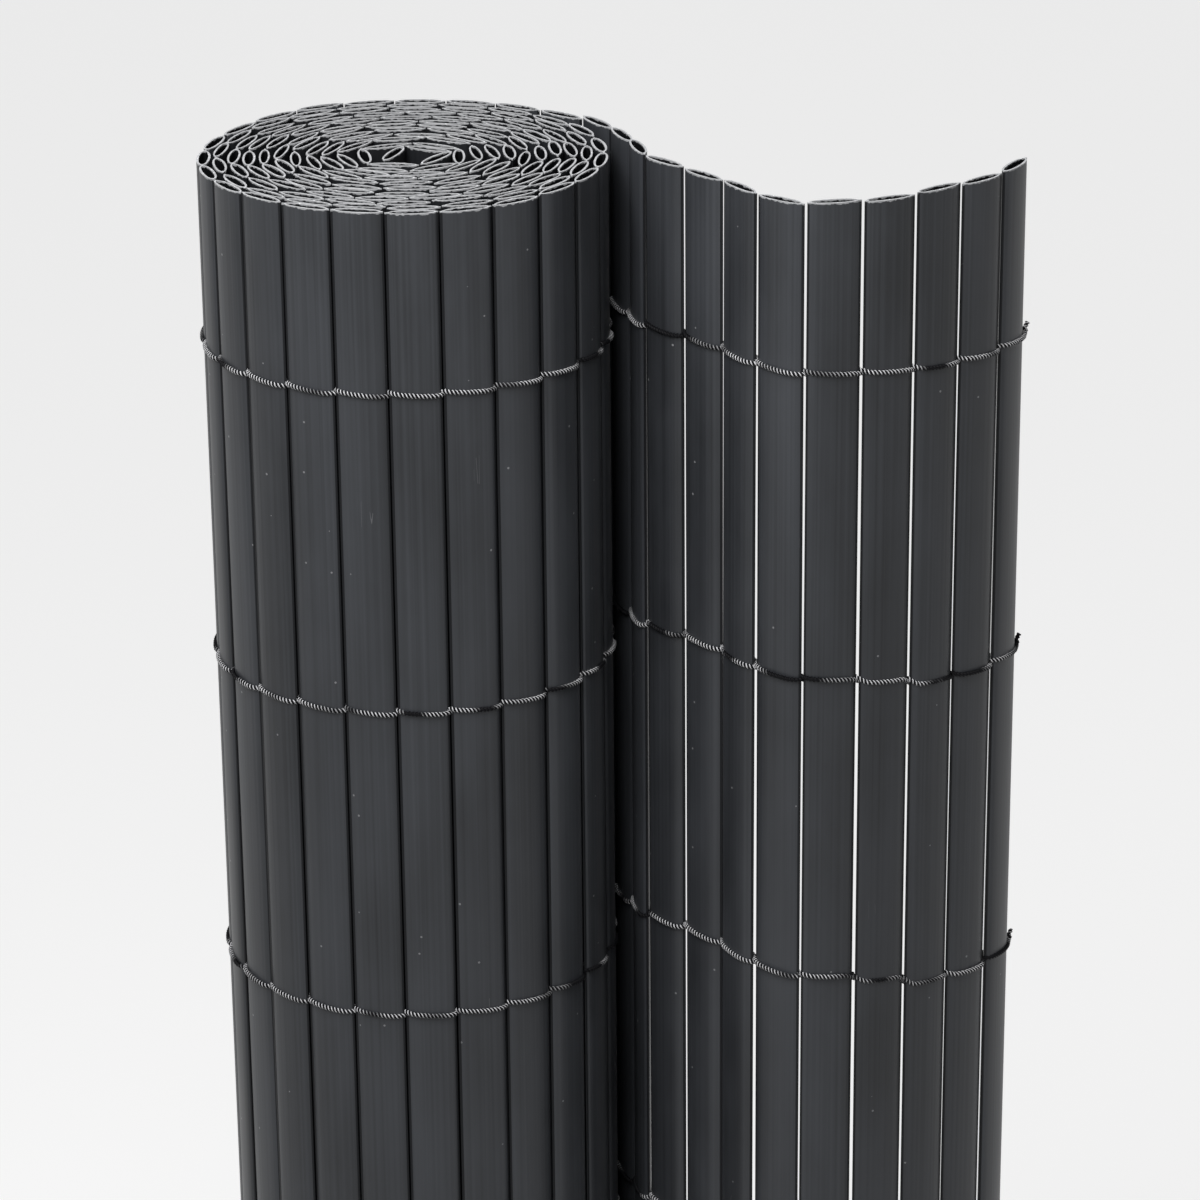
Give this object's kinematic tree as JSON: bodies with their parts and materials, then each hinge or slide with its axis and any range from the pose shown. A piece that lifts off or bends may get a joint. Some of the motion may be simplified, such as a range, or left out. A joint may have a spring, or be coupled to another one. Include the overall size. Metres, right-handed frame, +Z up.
{
  "type": "privacy screen mat",
  "caption": "Screening mat of hollow plastic slats bound with twisted cord, stored as a standing roll with its free end open beside it.",
  "frame": {"origin": "centre of the bounding box's base, on the ground that the slats' cut ends stand on", "axes": "+Z up along the slats; +X to the right, towards the free end of the mat, seen from the pictured side; +Y away from the viewer"},
  "size_m": [0.277, 0.1372, 0.9],
  "materials": {
    "slat": "satin, finely streaked along the slat",
    "cord": "twisted, slightly glossy filament"
  },
  "bodies": {
    "root": {"roll_turn_01": "slat", "roll_turn_02": "slat", "roll_turn_03": "slat", "roll_turn_04": "slat", "roll_turn_05": "slat", "roll_turn_06": "slat", "roll_turn_07": "slat", "roll_turn_08": "slat", "roll_turn_09": "slat", "roll_turn_10": "slat", "roll_turn_11": "slat", "free_slat_01": "slat", "free_slat_02": "slat", "free_slat_03": "slat", "free_slat_04": "slat", "free_slat_05": "slat", "free_slat_06": "slat", "free_slat_07": "slat", "free_slat_08": "slat", "free_slat_09": "slat", "free_slat_10": "slat", "free_slat_11": "slat", "free_slat_12": "slat", "free_slat_13": "slat", "tie_row_1": "cord", "tie_row_2": "cord", "tie_row_3": "cord", "tie_row_4": "cord", "tie_row_5": "cord", "tie_row_6": "cord", "tie_row_7": "cord", "tie_row_8": "cord"}
  },
  "joints": []
}
